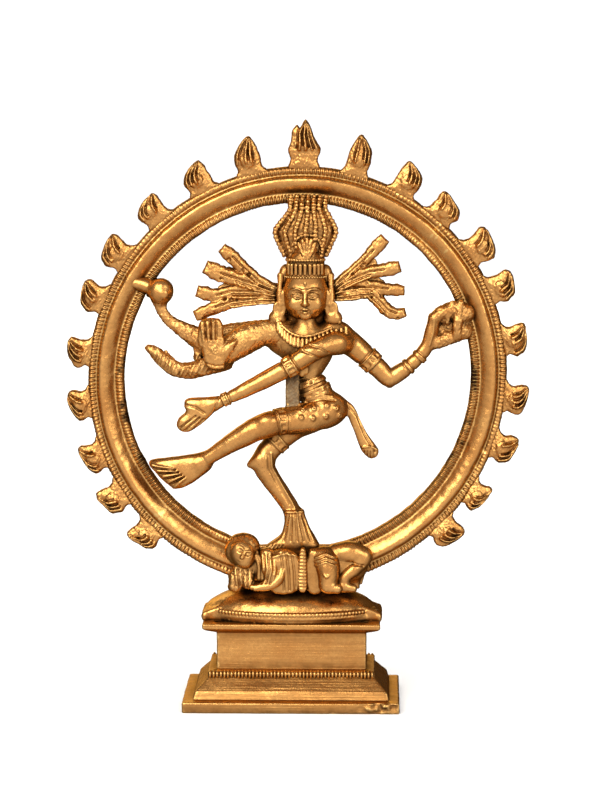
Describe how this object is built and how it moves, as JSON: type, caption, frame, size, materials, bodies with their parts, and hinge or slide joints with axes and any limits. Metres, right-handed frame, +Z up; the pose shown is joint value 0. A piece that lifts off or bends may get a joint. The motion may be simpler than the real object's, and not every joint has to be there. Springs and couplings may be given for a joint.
{
  "type": "brass nataraja statue",
  "caption": "Small cast-brass dancing figure inside a ring of flames, standing on a dwarf, an oval lotus seat and a hollow stepped pedestal.",
  "frame": {"origin": "centre of the object's box at the underside of the plinth", "axes": "+Z up; -Y towards the viewer, the way the figure faces; +X to the viewer's right"},
  "size_m": [0.1187, 0.035, 0.1496],
  "materials": {
    "brass_polished": "hand-polished cast brass, darker in the recesses",
    "brass_brushed": "filed and brushed brass with fine level scratches, duller and greyer on the sides",
    "brass_cast": "as-cast brass with a fine sandy skin, rubbed bright on the high spots"
  },
  "bodies": {
    "root": {"pedestal": "brass_brushed", "lotus_seat": "brass_polished", "ring": "brass_polished", "dwarf_body": "brass_polished", "dwarf_head": "brass_polished", "dwarf_arm_front": "brass_polished", "dwarf_arm_back": "brass_polished", "dwarf_strap": "brass_polished", "dwarf_leg_front": "brass_polished", "dwarf_leg_back": "brass_polished", "torso": "brass_polished", "pelvis": "brass_polished", "head": "brass_polished", "diadem": "brass_polished", "headdress": "brass_polished", "earring_left": "brass_polished", "earring_right": "brass_polished", "arm_front_left": "brass_polished", "arm_front_right": "brass_polished", "arm_rear_left": "brass_polished", "arm_rear_right": "brass_polished", "drum": "brass_polished", "palm_flame": "brass_polished", "cobra": "brass_polished", "leg_raised": "brass_polished", "leg_standing": "brass_polished", "necklace": "brass_polished", "hair_left": "brass_cast", "hair_right": "brass_cast", "sash": "brass_cast", "strut": "brass_cast", "flame_01": "brass_cast", "flame_02": "brass_cast", "flame_03": "brass_cast", "flame_04": "brass_cast", "flame_05": "brass_cast", "flame_06": "brass_cast", "flame_07": "brass_cast", "flame_08": "brass_cast", "flame_09": "brass_cast", "flame_10": "brass_cast", "flame_11": "brass_cast", "flame_12": "brass_cast", "flame_13": "brass_cast", "flame_14": "brass_cast", "flame_15": "brass_cast", "flame_16": "brass_cast", "flame_17": "brass_cast", "flame_18": "brass_cast", "flame_19": "brass_cast", "flame_20": "brass_cast", "flame_21": "brass_cast"}
  },
  "joints": []
}
